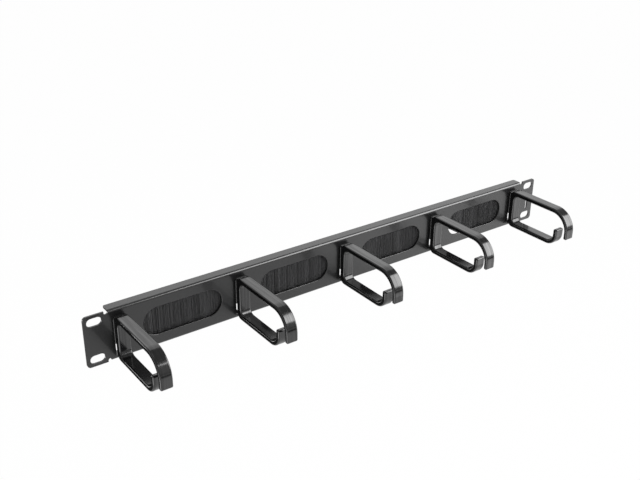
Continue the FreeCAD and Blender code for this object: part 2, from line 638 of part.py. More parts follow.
os.makedirs("parts", exist_ok=True)
for node in nodes:
    node.Shape.exportStep("parts/%s.step" % node.Label)
    box = node.Shape.BoundBox
    print("%-18s solids %d  volume %9.1f  x %7.1f %7.1f  y %6.1f %6.1f  z %6.1f %6.1f" % (
        node.Label, len(node.Shape.Solids), node.Shape.Volume, box.XMin, box.XMax, box.YMin,
        box.YMax, box.ZMin, box.ZMax))
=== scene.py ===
"""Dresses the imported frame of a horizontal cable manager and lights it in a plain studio.

The folded panel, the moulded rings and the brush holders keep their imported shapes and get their
finishes here. The bristle packs become real filaments folded over their core wires, and the weld
studs get their threads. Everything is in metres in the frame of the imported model.
"""

import logging
import math
from dataclasses import dataclass, field
from enum import Enum
from typing import Any, Optional, Sequence, Union

import bpy
import numpy as np
from mathutils import Matrix, Vector


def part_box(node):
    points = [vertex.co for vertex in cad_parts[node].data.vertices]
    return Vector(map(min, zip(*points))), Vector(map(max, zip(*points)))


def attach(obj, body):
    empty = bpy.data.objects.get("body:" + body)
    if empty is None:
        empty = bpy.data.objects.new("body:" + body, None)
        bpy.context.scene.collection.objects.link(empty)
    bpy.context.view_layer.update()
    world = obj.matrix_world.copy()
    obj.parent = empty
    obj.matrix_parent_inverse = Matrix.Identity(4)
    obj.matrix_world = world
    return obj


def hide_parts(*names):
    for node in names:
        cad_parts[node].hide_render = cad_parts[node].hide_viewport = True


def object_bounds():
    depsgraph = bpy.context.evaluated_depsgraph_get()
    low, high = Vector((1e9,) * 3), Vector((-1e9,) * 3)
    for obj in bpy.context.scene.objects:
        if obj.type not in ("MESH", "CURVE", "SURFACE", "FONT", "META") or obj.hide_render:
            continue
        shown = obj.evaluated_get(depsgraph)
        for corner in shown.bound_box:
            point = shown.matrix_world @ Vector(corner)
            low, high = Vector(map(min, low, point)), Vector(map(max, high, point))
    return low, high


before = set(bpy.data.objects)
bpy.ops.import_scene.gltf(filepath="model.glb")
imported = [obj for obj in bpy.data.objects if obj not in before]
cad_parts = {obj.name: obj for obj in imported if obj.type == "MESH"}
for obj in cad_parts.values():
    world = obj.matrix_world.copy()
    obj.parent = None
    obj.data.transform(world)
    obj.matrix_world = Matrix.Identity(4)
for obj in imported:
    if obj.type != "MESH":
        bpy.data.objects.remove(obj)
cad_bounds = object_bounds()

log = logging.getLogger("cable_manager")

MM = 0.001
ROOT = "root"
COAT_IOR = 1.75     # of the clear gloss over the paint and the mouldings
TONE = "tone"       # the point attribute that holds each filament's shade
SEED = 40           # of the random draws, plus the brush's number


# ------------------------------------------------------------------------------ shader helpers
Number = Union[float, int, "Value"]
Colour = tuple[float, float, float]
Stretch = tuple[float, float, float]


class Value:
    """A number inside a material: arithmetic on it adds Math nodes."""

    def __init__(self, graph: "Graph", socket: bpy.types.NodeSocket) -> None:
        """Keeps the graph and the socket that carries the number."""
        self.graph = graph
        self.socket = socket

    def _math(self, operation: str, first: Number, second: Number) -> "Value":
        """Adds one Math node.

        Args:
            operation: The Math node's operation.
            first: Its first input.
            second: Its second input.

        Returns:
            The node's result.
        """
        node = self.graph.node("ShaderNodeMath", {"operation": operation}, {0: first, 1: second})
        return Value(self.graph, node.outputs[0])

    def __add__(self, other: Number) -> "Value":
        """Sum."""
        return self._math("ADD", self, other)

    def __radd__(self, other: Number) -> "Value":
        """Sum, the number on the left."""
        return self._math("ADD", other, self)

    def __sub__(self, other: Number) -> "Value":
        """Difference."""
        return self._math("SUBTRACT", self, other)

    def __rsub__(self, other: Number) -> "Value":
        """Difference, the number on the left."""
        return self._math("SUBTRACT", other, self)

    def __mul__(self, other: Number) -> "Value":
        """Product."""
        return self._math("MULTIPLY", self, other)

    def __rmul__(self, other: Number) -> "Value":
        """Product, the number on the left."""
        return self._math("MULTIPLY", other, self)

    def size(self) -> "Value":
        """The number without its sign."""
        return self._math("ABSOLUTE", self, 0.0)

    def larger(self, other: Number) -> "Value":
        """The larger of two numbers."""
        return self._math("MAXIMUM", self, other)

    def between(self, low: float, high: float) -> "Value":
        """A smooth rise from 0 at low to 1 at high.

        Args:
            low: Where the rise starts.
            high: Where it ends.

        Returns:
            The eased value, held at 0 and 1 outside.
        """
        node = self.graph.node("ShaderNodeMapRange", {"interpolation_type": "SMOOTHSTEP"},
                               {0: self, 1: low, 2: high, 3: 0.0, 4: 1.0})
        return Value(self.graph, node.outputs[0])


class Graph:
    """The node tree of one material or world, and the one method that adds nodes to it."""

    def __init__(self, tree: bpy.types.NodeTree) -> None:
        """Takes a node tree and empties it."""
        self.tree = tree
        tree.nodes.clear()

    def node(self, kind: str, settings: Optional[dict[str, Any]] = None,
             sockets: Optional[dict[Union[int, str], Any]] = None) -> bpy.types.Node:
        """Adds a node, sets it up and feeds its sockets.

        Args:
            kind: The node's type name.
            settings: Its own properties, set first. "stops" gives a ramp's places and greys.
            sockets: Input names or numbers, each with a value, a Value or a socket to link.

        Returns:
            The new node.
        """
        made = self.tree.nodes.new(kind)
        for name, value in (settings or {}).items():
            if name == "stops":
                self._set_ramp(made, value)
            else:
                setattr(made, name, value)
        for name, value in (sockets or {}).items():
            if isinstance(value, Value):
                self.tree.links.new(value.socket, made.inputs[name])
            elif isinstance(value, bpy.types.NodeSocket):
                self.tree.links.new(value, made.inputs[name])
            else:
                made.inputs[name].default_value = value
        return made

    @staticmethod
    def _set_ramp(node: bpy.types.Node, stops: Sequence[tuple[float, float]]) -> None:
        """Gives a colour ramp its stops.

        Args:
            node: The ramp's node.
            stops: Its stops in order, each a place and a grey level.
        """
        elements = node.color_ramp.elements
        while len(elements) < len(stops):
            elements.new(0.5)
        for element, (place, grey) in zip(elements, stops):
            element.position = place
            element.color = (grey, grey, grey, 1.0)

    def number(self, kind: str, settings: Optional[dict[str, Any]] = None,
               sockets: Optional[dict[Union[int, str], Any]] = None,
               output: Union[int, str] = 0) -> Value:
        """Adds a node and wraps one of its outputs as a Value."""
        return Value(self, self.node(kind, settings, sockets).outputs[output])

    def place(self) -> bpy.types.NodeSocket:
        """The point's place on the object, in metres."""
        return self.node("ShaderNodeTexCoord").outputs["Object"]

    def parts(self, vector: bpy.types.NodeSocket) -> tuple[Value, ...]:
        """A vector's X, Y and Z parts."""
        node = self.node("ShaderNodeSeparateXYZ", {}, {0: vector})
        return tuple(Value(self, output) for output in node.outputs)

    def facing(self) -> tuple[Value, ...]:
        """How squarely the surface faces along X, Y and Z, each from 0 to 1."""
        normal = self.node("ShaderNodeNewGeometry").outputs["Normal"]
        return tuple(part.size() for part in self.parts(normal))

    def straightness(self) -> Value:
        """How squarely the surface faces along an axis: 1 on flats, less over bends and rims."""
        across, along, up = self.facing()
        return across.larger(along).larger(up)

    def rays(self) -> tuple[Value, Value]:
        """Which rays ask for the colour.

        Returns:
            1 for rays from the camera, and 1 for rays that gloss or clear pieces send on.
        """
        path = self.node("ShaderNodeLightPath").outputs
        eye, glossy, passed = (Value(self, path[f"Is {kind} Ray"])
                               for kind in ("Camera", "Glossy", "Transmission"))
        return eye, glossy + passed

    def stretched(self, scale: tuple[float, float, float]) -> bpy.types.NodeSocket:
        """The point's place with each axis scaled, for patterns that run one way."""
        node = self.node("ShaderNodeMapping", {}, {"Vector": self.place(), "Scale": scale})
        return node.outputs[0]

    def noise(self, vector: bpy.types.NodeSocket, scale: float, detail: float = 2.0,
              rough: float = 0.5) -> Value:
        """Smooth noise.

        Args:
            vector: Where it is read.
            scale: Waves per metre of the vector.
            detail: Octaves.
            rough: How strong the finer octaves are.

        Returns:
            The noise, about 0.5 on average.
        """
        return self.number("ShaderNodeTexNoise", {}, {"Vector": vector, "Scale": scale,
                                                      "Detail": detail, "Roughness": rough})

    def tint(self, mask: Number, dark: Colour, light: Colour) -> bpy.types.NodeSocket:
        """A colour between dark and light.

        Args:
            mask: 0 for dark to 1 for light.
            dark: The colour at 0.
            light: The colour at 1.

        Returns:
            The mixed colour.
        """
        node = self.node("ShaderNodeMix", {"data_type": "RGBA"},
                         {0: mask, 6: (*dark, 1.0), 7: (*light, 1.0)})
        return node.outputs[2]

    def bump(self, height: Value, depth: float, strength: float = 1.0) -> bpy.types.NodeSocket:
        """A bumped normal.

        Args:
            height: The relief, from 0 to 1.
            depth: How deep the whole relief is, in metres.
            strength: How much of it shows.

        Returns:
            The normal to feed to a shader.
        """
        return self.node("ShaderNodeBump", {}, {"Height": height, "Distance": depth,
                                                "Strength": strength}).outputs[0]

    def surface(self, sockets: dict[Union[int, str], Any]) -> None:
        """Ends a material in one Principled shader with these inputs."""
        shader = self.node("ShaderNodeBsdfPrincipled", {}, sockets)
        self.node("ShaderNodeOutputMaterial", {}, {"Surface": shader.outputs[0]})


def new_material(name: str) -> tuple[bpy.types.Material, Graph]:
    """Makes an empty node material.

    Args:
        name: The finish's name.

    Returns:
        The material and its graph.
    """
    material = bpy.data.materials.new(name)
    material.use_nodes = True
    return material, Graph(material.node_tree)


# ------------------------------------------------------------------------------------ finishes
@dataclass(frozen=True)
class PowderCoat:
    """Satin black powder coat on sheet steel: fine orange peel and faint handling marks.

    Over bends and rims, where the facing falls below rolled_from, the coat is glossier.
    """

    name: str = "satin_black_powder_coat"
    dark: Colour = (0.004, 0.004, 0.0043)
    light: Colour = (0.008, 0.008, 0.0086)
    roughness: float = 0.32
    peel_per_metre: float = 1700.0
    peel_depth: float = 0.035 * MM
    peel_shown: float = 0.55
    clouds_per_metre: float = 28.0
    scuff_shape: Stretch = (14.0, 60.0, 60.0)
    scuffs_per_metre: float = 6.0
    scuff_from: tuple[float, float] = (0.56, 0.74)
    rolled_from: tuple[float, float] = (0.88, 0.97)
    coat: float = 0.22
    coat_rolled: float = 0.4
    coat_roughness: float = 0.1

    def build(self) -> bpy.types.Material:
        """Makes the material."""
        material, g = new_material(self.name)
        place = g.place()
        peel = g.noise(place, self.peel_per_metre, 3.0, 0.55)
        cloud = g.noise(place, self.clouds_per_metre, 3.0, 0.6)
        scuff = g.noise(g.stretched(self.scuff_shape), self.scuffs_per_metre, 5.0, 0.7)
        rolled = 1.0 - g.straightness().between(*self.rolled_from)
        g.surface({
            "Base Color": g.tint(cloud, self.dark, self.light),
            "Roughness": self.roughness + cloud * 0.06 + scuff.between(*self.scuff_from) * 0.05,
            "Specular IOR Level": 0.5,
            "Coat Weight": self.coat + rolled * self.coat_rolled,
            "Coat Roughness": self.coat_roughness,
            "Coat IOR": COAT_IOR,
            "Normal": g.bump(peel, self.peel_depth, self.peel_shown),
        })
        return material


@dataclass(frozen=True)
class GlossMoulding:
    """Gloss black moulded plastic.

    Fine flow lines run along the band. Side faces, whose facing along X is over side_from, are
    duller. The relief adds flow lines, waves and sink marks in the shares given.
    """

    name: str = "gloss_black_moulding"
    dark: Colour = (0.002, 0.002, 0.0022)
    light: Colour = (0.005, 0.005, 0.0054)
    roughness: float = 0.16
    flow: Stretch = (1.0, 0.03, 0.03)
    lines_per_metre: float = 1500.0
    streaks_per_metre: float = 620.0
    streak_from: tuple[float, float] = (0.34, 0.62)
    streak_least: float = 0.72
    side_from: tuple[float, float] = (0.93, 0.99)
    side_dulled: float = 0.6
    shares: tuple[float, float, float] = (0.12, 0.23, 0.65)
    relief_depth: float = 0.12 * MM
    relief_shown: float = 0.5
    coat_roughness: float = 0.14

    def build(self) -> bpy.types.Material:
        """Makes the material."""
        material, g = new_material(self.name)
        flow = g.stretched(self.flow)
        lines = g.noise(flow, self.lines_per_metre, 4.0, 0.6)
        waves = g.noise(g.stretched((1.0, 0.25, 0.25)), 160.0, 2.0, 0.5)
        sink = g.noise(g.stretched((1.0, 0.6, 0.6)), 90.0, 1.0, 0.4)
        cloud = g.noise(g.place(), 60.0, 3.0, 0.6)
        streak = g.noise(flow, self.streaks_per_metre, 3.0, 0.6).between(*self.streak_from)
        side = g.facing()[0].between(*self.side_from)
        of_lines, of_waves, of_sink = self.shares
        g.surface({
            "Base Color": g.tint(cloud, self.dark, self.light),
            "Roughness": self.roughness + lines * 0.08 + cloud * 0.04,
            "Specular IOR Level": 0.0,
            "Coat Weight": (1.0 - side * self.side_dulled) * (
                self.streak_least + streak * (1.0 - self.streak_least)),
            "Coat Roughness": self.coat_roughness,
            "Coat IOR": COAT_IOR,
            "Normal": g.bump(lines * of_lines + waves * of_waves + sink * of_sink,
                             self.relief_depth, self.relief_shown),
        })
        return material


@dataclass(frozen=True)
class NylonFilament:
    """Black nylon bristle: each filament has its own shade in the attribute "tone"."""

    name: str = "black_nylon_filament"
    dark: Colour = (0.03, 0.03, 0.031)
    light: Colour = (0.11, 0.11, 0.113)
    roughness: float = 0.42

    def build(self) -> bpy.types.Material:
        """Makes the material."""
        material, g = new_material(self.name)
        tone = g.number("ShaderNodeAttribute", {"attribute_name": TONE}, {}, "Fac")
        drift = g.noise(g.stretched((1.0, 1.0, 0.12)), 900.0, 2.0, 0.5)
        g.surface({
            "Base Color": g.tint(tone, self.dark, self.light),
            "Roughness": self.roughness + drift * 0.2,
            "Specular IOR Level": 0.45,
        })
        return material


@dataclass(frozen=True)
class BareMetal:
    """Bare or plated metal with a drawn or tumbled grain, and a stain that dulls its colour."""

    name: str
    colour: Colour
    roughness: float
    stretch: Stretch = (1.0, 1.0, 1.0)
    grain_per_metre: float = 1200.0
    grain_depth: float = 0.012 * MM
    stained: float = 0.72

    def build(self) -> bpy.types.Material:
        """Makes the material."""
        material, g = new_material(self.name)
        grain = g.noise(g.stretched(self.stretch), self.grain_per_metre, 4.0, 0.6)
        stain = g.noise(g.place(), 90.0, 3.0, 0.6)
        red, green, blue = self.colour
        dull_stain_and_painted_dark_reflection = (red * self.stained, green * self.stained, blue * self.stained)
        g.surface({
            "Base Color": g.tint(stain, dull_stain_and_painted_dark_reflection, self.colour),
            "Metallic": 1.0,
            "Roughness": self.roughness + grain * 0.18,
            "Normal": g.bump(grain, self.grain_depth, 0.4),
        })
        return material


def dress(node: str, material: bpy.types.Material) -> None:
    """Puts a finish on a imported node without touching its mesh.

    Args:
        node: The node's name.
        material: Its finish.
    """
    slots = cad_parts[node].data.materials
    slots.clear()
    slots.append(material)
    log.info("%s: %s", node, material.name)


def corners_of(node: str) -> np.ndarray:
    """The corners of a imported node's mesh, one row each, in metres.

    Args:
        node: The node's name.

    Returns:
        An array of X, Y and Z.
    """
    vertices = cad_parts[node].data.vertices
    flat = np.zeros(len(vertices) * 3)
    vertices.foreach_get("co", flat)
    return flat.reshape(-1, 3)


def grid_quads(rows: int, around: int) -> np.ndarray:
    """Quads of a grid that closes round on itself, such as a tube.

    Corner number = row times the corners in a row, plus the corner's place in it. The quad at a
    place joins it and the next place, the last one with the first, to the row above.

    Args:
        rows: Rows of quads, one less than the rows of corners.
        around: Corners in each row.

    Returns:
        Corner numbers, by row, place and corner of the quad.
    """
    row = np.arange(rows)[:, None] * around
    here = np.arange(around)
    after = (here + 1) % around
    return np.stack(np.broadcast_arrays(row + here, row + after, row + around + after,
                                        row + around + here), axis=-1)


def new_piece(name: str, corners: np.ndarray, faces: Sequence[Sequence[int]],
              material: bpy.types.Material) -> bpy.types.Object:
    """Makes a smooth mesh object and lets it ride on the object's one body.

    Args:
        name: The piece's name.
        corners: Points, one row each, in metres.
        faces: The corner numbers of each face.
        material: Its finish.

    Returns:
        The new object.
    """
    mesh = bpy.data.meshes.new(name)
    mesh.from_pydata(corners, [], faces)
    mesh.polygons.foreach_set("use_smooth", np.full(len(faces), True))
    mesh.materials.append(material)
    mesh.update()
    piece = bpy.data.objects.new(name, mesh)
    bpy.context.scene.collection.objects.link(piece)
    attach(piece, ROOT)
    return piece


# --------------------------------------------------------------------------------- sub-assemblies
class Side(Enum):
    """The two legs of a folded filament."""

    FRONT = -1.0
    BACK = 1.0


@dataclass
class BrushInsert:
    """One brush's bristle pack, folded over its core wire in the crimped channel.

    Stations run up each leg of a filament. share gives their heights from the tip to the
    channel's mouth, and the last one, at the wire, follows. sway, drift and curl each hold a
    spread and how much of it every station takes.
    """

    number: int
    filaments: int = 2000
    radius: float = 0.12 * MM
    tip_taper: float = 0.6
    sides: int = 3
    tuft_pitch: float = 1.15 * MM
    tuft_pull: float = 0.14
    tuft_gather: float = 0.18
    scatter: float = 0.3 * MM
    ragged: float = 0.25 * MM
    skin: float = 0.14 * MM
    channel_wall: float = 0.6 * MM
    crimp: float = 0.5 * MM
    share: tuple[float, ...] = (0.0, 0.3, 0.62, 0.93, 1.0)
    sway: tuple[float, tuple[float, ...]] = (0.16 * MM, (1.0, 0.55, 0.25, 0.05, 0.0, 0.0))
    drift: tuple[float, tuple[float, ...]] = (0.06 * MM, (1.0, 0.6, 0.3, 0.0, 0.0, 0.0))
    curl: tuple[float, tuple[float, ...]] = (0.05 * MM, (1.0, 1.0, 0.7, 0.2, 0.0, 0.0))

    @property
    def pack(self) -> str:
        """The packed bristle node's name."""
        return f"brush_bristles_{self.number}"

    def lower_edge(self, across: np.ndarray) -> np.ndarray:
        """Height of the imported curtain's lower edge at each place along it.

        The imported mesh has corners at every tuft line, so the lowest corner at each place gives
        the edge, also where the pack is worn away.

        Args:
            across: Places along X, in metres.

        Returns:
            The edge's height at each place.
        """
        corners = corners_of(self.pack)
        wire_low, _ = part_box(f"brush_core_wire_{self.number}")
        corners = corners[corners[:, 2] < wire_low.z]
        places = np.round(corners[:, 0], 5)
        spots = np.unique(places)
        lows = np.array([corners[places == spot, 2].min() for spot in spots])
        return np.interp(across, spots, lows)

    def leg(self, side: Side, layer: np.ndarray, tip: np.ndarray, rng: np.random.Generator
            ) -> tuple[np.ndarray, np.ndarray, np.ndarray]:
        """Stations of one leg of every filament, from its tip up to the wire.

        A filament's offset from the middle grows with its layer. Below, it is 0.06 to 1 of the
        curtain's reach, and in the mouth 0.05 to 0.95 of the room between the crimps. The station
        just under the mouth mixes the two. Each leg sways and drifts as a whole, and every station
        curls a little by itself, all of it fading out towards the mouth.

        Args:
            side: Which way the leg lies.
            layer: 0 next to the wire to 1 outermost, for each filament.
            tip: Height of each leg's tip.
            rng: Source of the wander.

        Returns:
            Sideways shift, offset along Y and height, each filament by station.
        """
        pack_low, pack_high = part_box(self.pack)
        channel_low, channel_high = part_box(f"brush_channel_{self.number}")
        wire_low, wire_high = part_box(f"brush_core_wire_{self.number}")
        wire_mid = (wire_low.z + wire_high.z) / 2
        core = (wire_high.z - wire_low.z) / 2 + self.radius
        reach = (pack_high.y - pack_low.y) / 2 - self.skin - self.radius
        inner = (channel_high.y - channel_low.y) / 2 - self.channel_wall - self.radius
        curtain = reach * (0.06 + 0.94 * layer)
        mouth = (inner - self.crimp) * (0.05 + 0.9 * layer)
        around = core + (inner - core) * layer * 0.9
        count = len(tip)
        heights = tip[:, None] + (channel_low.z - tip)[:, None] * np.array(self.share)
        heights = np.column_stack([heights, np.full(count, wire_mid)])
        offsets = np.column_stack([curtain] * 3 + [curtain * 0.55 + mouth * 0.45, mouth, around])
        spread, taken = self.sway
        sway = rng.normal(0.0, spread, count)[:, None] * np.array(taken)
        spread, taken = self.curl
        curl = rng.normal(0.0, spread, (count, len(taken))) * np.array(taken)
        spread, taken = self.drift
        drift = rng.normal(0.0, spread, count)[:, None] * np.array(taken)
        offsets = np.clip(offsets + drift, self.radius, reach)
        return sway + curl, offsets * side.value, heights

    def build(self, nylon: bpy.types.Material) -> None:
        """Builds the filaments and lets them stand for the packed bristle solid.

        Args:
            nylon: The filaments' finish.
        """
        rng = np.random.default_rng(SEED + self.number)
        across, tuft = self.places(rng)
        path = self.paths(across, rng)
        corners, faces = self.prisms(path)
        piece = new_piece(f"bristle_filaments_{self.number}", corners, faces.tolist(), nylon)
        self.shade(piece, tuft, rng, path.shape[1])
        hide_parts(self.pack)
        log.info("%s: %d filaments, %d faces", piece.name, self.filaments, len(faces))

    def places(self, rng: np.random.Generator) -> tuple[np.ndarray, np.ndarray]:
        """Where the filaments stand along the brush.

        Place = even spacing plus a scatter, drawn a little towards its tuft's middle, plus the
        tuft's own pull to one side.

        Args:
            rng: Source of the scatter and the pulls.

        Returns:
            Each filament's place along X, and the number of its tuft.
        """
        low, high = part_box(self.pack)
        inset = 3 * self.radius
        across = np.linspace(low.x + inset, high.x - inset, self.filaments)
        across = across + rng.uniform(-1.0, 1.0, self.filaments) * self.scatter
        tuft = np.floor((across - low.x) / self.tuft_pitch).astype(int)
        pull = rng.uniform(-self.tuft_pull, self.tuft_pull, tuft.max() + 2)[tuft]
        centre = low.x + (tuft + 0.5) * self.tuft_pitch
        across = across + (centre - across) * self.tuft_gather + pull * self.tuft_pitch
        return np.clip(across, low.x + inset, high.x - inset), tuft

    def paths(self, across: np.ndarray, rng: np.random.Generator) -> np.ndarray:
        """The filaments' middle lines: up the front leg, half round the wire, down the back leg.

        Round the wire, Y follows the cosine and Z the sine of the turn, as far out as the
        filament's layer puts it.

        Args:
            across: Each filament's place along X.
            rng: Source of the layers and the wander.

        Returns:
            Points, by filament, station and coordinate.
        """
        low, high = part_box(self.pack)
        wire_low, wire_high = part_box(f"brush_core_wire_{self.number}")
        middle_y, wire_mid = (wire_low.y + wire_high.y) / 2, (wire_low.z + wire_high.z) / 2
        wire_radius = (wire_high.z - wire_low.z) / 2
        layer = rng.permutation(np.linspace(0.0, 1.0, self.filaments))
        legs = []
        for side in Side:
            tip = self.lower_edge(across) + np.abs(rng.normal(0.0, self.ragged, self.filaments))
            legs.append(self.leg(side, layer, tip, rng))
        (front_x, front_y, front_z), (back_x, back_y, back_z) = legs
        turn = np.array([0.25, 0.5, 0.75]) * math.pi
        around = np.abs(front_y[:, -1])[:, None]
        bend_x = np.zeros((self.filaments, len(turn)))
        bend_y = -around * np.cos(turn)
        bend_z = wire_mid + (wire_radius + self.radius + (around - wire_radius) * 0.75) * np.sin(
            turn)
        shift = np.column_stack([front_x, bend_x, back_x[:, ::-1]])
        path_x = np.clip(across[:, None] + shift, low.x + self.radius, high.x - self.radius)
        path_y = middle_y + np.column_stack([front_y, bend_y, back_y[:, ::-1]])
        path_z = np.column_stack([front_z, bend_z, back_z[:, ::-1]])
        return np.stack([path_x, path_y, path_z], axis=2)

    def prisms(self, path: np.ndarray) -> tuple[np.ndarray, np.ndarray]:
        """Thin prisms along many paths at once.

        At each station the section is a regular polygon across the path: one axis is X, the
        other is the path's direction crossed with X.

        Args:
            path: Points, by filament, station and coordinate.

        Returns:
            Corners and quads.
        """
        count, stations, _ = path.shape
        along = np.gradient(path, axis=1)
        along /= np.linalg.norm(along, axis=2, keepdims=True)
        side = np.cross(along, np.array([1.0, 0.0, 0.0]))
        side /= np.linalg.norm(side, axis=2, keepdims=True)
        other = np.cross(side, along)
        angle = np.arange(self.sides) * 2 * math.pi / self.sides
        width = np.full(stations, self.radius)
        width[[0, -1]] *= self.tip_taper
        ring = (np.cos(angle)[:, None] * side[:, :, None] + np.sin(angle)[:, None]
                * other[:, :, None]) * width[:, None, None]
        corners = (path[:, :, None] + ring).reshape(-1, 3)
        first = np.arange(count) * stations * self.sides
        quads = grid_quads(stations - 1, self.sides).reshape(1, -1, 4) + first[:, None, None]
        return corners, quads.reshape(-1, 4)

    def shade(self, piece: bpy.types.Object, tuft: np.ndarray, rng: np.random.Generator,
              stations: int) -> None:
        """Writes each filament's shade as a point attribute.

        Shade = half from a group of three tufts, 0.3 from the tuft and 0.2 of its own.

        Args:
            piece: The filaments' object.
            tuft: The number of each filament's tuft.
            rng: Source of the shades.
            stations: Stations along a filament's path.
        """
        by_tuft = rng.beta(1.3, 2.6, tuft.max() + 2)[tuft]
        by_group = rng.beta(1.1, 2.2, tuft.max() + 2)[tuft // 3]
        tone = 0.5 * by_group + 0.3 * by_tuft + 0.2 * rng.beta(1.5, 3.0, len(tuft))
        layer = piece.data.attributes.new(TONE, "FLOAT", "POINT")
        layer.data.foreach_set("value", np.repeat(tone, stations * self.sides).astype(np.float32))


@dataclass
class StudThreads:
    """The weld studs with their rolled threads."""

    pitch: float = 0.5 * MM
    depth: float = 0.27 * MM
    around: int = 20
    per_turn: int = 6
    plain: float = 0.5 * MM
    nib_length: float = 0.4 * MM
    nib_depth: float = 0.35 * MM

    def build(self, zinc: bpy.types.Material) -> None:
        """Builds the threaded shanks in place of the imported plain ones.

        Args:
            zinc: Their finish.
        """
        low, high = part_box("weld_studs")
        shank, quads, caps = self.shank(low, high)
        spots = self.centres(corners_of("weld_studs")[:, 0], (high.z - low.z) / 2)
        corners = np.vstack([shank + np.array([spot, 0.0, 0.0]) for spot in spots])
        faces = []
        for start in np.arange(len(spots)) * len(shank):
            faces += (quads + start).tolist() + (caps + start).tolist()
        piece = new_piece("threaded_studs", corners, faces, zinc)
        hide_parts("weld_studs")
        log.info("%s: %d studs", piece.name, len(spots))

    def shank(self, low: Vector, high: Vector) -> tuple[np.ndarray, np.ndarray, np.ndarray]:
        """One shank, standing at X = 0.

        The surface is a grid of angle by height: its radius falls from the outer radius by the
        depth times a triangle wave of height over pitch less the angle's share of a turn. The
        cut fades in after a plain length, and the tip narrows to a nib.

        Args:
            low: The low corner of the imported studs' box.
            high: Its high corner.

        Returns:
            Corners, quads of the side, and triangles of the two ends.
        """
        radius, middle_z = (high.z - low.z) / 2, (high.z + low.z) / 2
        steps = int((high.y - low.y) / self.pitch * self.per_turn)
        height = np.linspace(low.y, high.y, steps + 1)
        angle = np.arange(self.around) * 2 * math.pi / self.around
        phase = (height[:, None] / self.pitch - angle / (2 * math.pi)) % 1.0
        cut = 1.0 - np.abs(2.0 * phase - 1.0)
        fade = np.clip((height - low.y - self.plain) / self.pitch, 0.0, 1.0)
        nib = np.clip(1.0 - (high.y - height) / self.nib_length, 0.0, 1.0)
        reach = radius - self.depth * cut * fade[:, None] - self.nib_depth * nib[:, None]
        side = np.stack([reach * np.cos(angle), np.broadcast_to(height[:, None], reach.shape),
                         middle_z + reach * np.sin(angle)], axis=2).reshape(-1, 3)
        foot, tip = len(side), len(side) + 1
        corners = np.vstack([side, [[0.0, low.y, middle_z], [0.0, high.y, middle_z]]])
        here = np.arange(self.around)
        after, top = (here + 1) % self.around, steps * self.around
        caps = np.vstack([np.column_stack([np.full(self.around, foot), here, after]),
                          np.column_stack([np.full(self.around, tip), top + after, top + here])])
        # the angle runs from X to Z, so each quad is taken the other way to face outwards
        quads = grid_quads(steps, self.around)[..., [0, 3, 2, 1]].reshape(-1, 4)
        return corners, quads, caps

    @staticmethod
    def centres(across: np.ndarray, radius: float) -> list[float]:
        """Middle of each stud along X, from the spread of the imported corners.

        Args:
            across: The corners' places along X.
            radius: A stud's radius, and the least space between two studs' corners.

        Returns:
            One place for each stud.
        """
        places = np.sort(across)
        breaks = np.flatnonzero(np.diff(places) > radius) + 1
        return [float((part.min() + part.max()) / 2) for part in np.split(places, breaks)]


@dataclass
class RackPanel:
    """The folded panel with its five rings and the fixings behind it."""

    rings: int = 5
    bays: int = 4
    coat: PowderCoat = field(default_factory=PowderCoat)
    moulding: GlossMoulding = field(default_factory=GlossMoulding)

    def build(self) -> None:
        """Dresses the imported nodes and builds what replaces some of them."""
        coat = self.coat.build()
        moulding = self.moulding.build()
        nylon = NylonFilament().build()
        zinc = BareMetal("bright_zinc_plate", (0.62, 0.63, 0.66), 0.24).build()
        mill = BareMetal("mill_aluminium", (0.66, 0.67, 0.68), 0.3, (0.04, 1.0, 1.0)).build()
        drawn = BareMetal("drawn_wire", (0.5, 0.5, 0.5), 0.25, (0.04, 1.0, 1.0)).build()
        dress("front_panel", coat)
        for number in range(1, self.rings + 1):
            dress(f"cable_ring_{number}", moulding)
        for number in range(1, self.bays + 1):
            dress(f"brush_holder_{number}", coat)
            dress(f"brush_channel_{number}", mill)
            dress(f"brush_core_wire_{number}", drawn)
            BrushInsert(number).build(nylon)
        dress("stud_washers", zinc)
        dress("stud_nuts", zinc)
        StudThreads().build(zinc)


# -------------------------------------------------------------------------------------- studio
@dataclass(frozen=True)
class Lamp:
    """An oblong softbox that faces the object's middle."""

    name: str
    azimuth: float
    elevation: float
    roll: float
    distance: float
    size: tuple[float, float]
    radiance: float

    def build(self, target: Vector) -> None:
        """Hangs the lamp.

        Its azimuth is measured from straight in front, positive to the right. A softbox of even
        radiance sends out pi times its area times that radiance.

        Args:
            target: The point it faces.
        """
        data = bpy.data.lights.new(self.name, "AREA")
        data.shape = "RECTANGLE"
        data.size, data.size_y = self.size
        data.energy = math.pi * self.size[0] * self.size[1] * self.radiance
        lamp = bpy.data.objects.new(self.name, data)
        turn = (Matrix.Rotation(math.radians(self.azimuth), 4, "Z")
                @ Matrix.Rotation(math.radians(90.0 - self.elevation), 4, "X")
                @ Matrix.Rotation(math.radians(self.roll), 4, "Z"))
        stand = Matrix.Translation(Vector((0.0, 0.0, self.distance)))
        lamp.matrix_world = Matrix.Translation(target) @ turn @ stand
        bpy.context.scene.collection.objects.link(lamp)


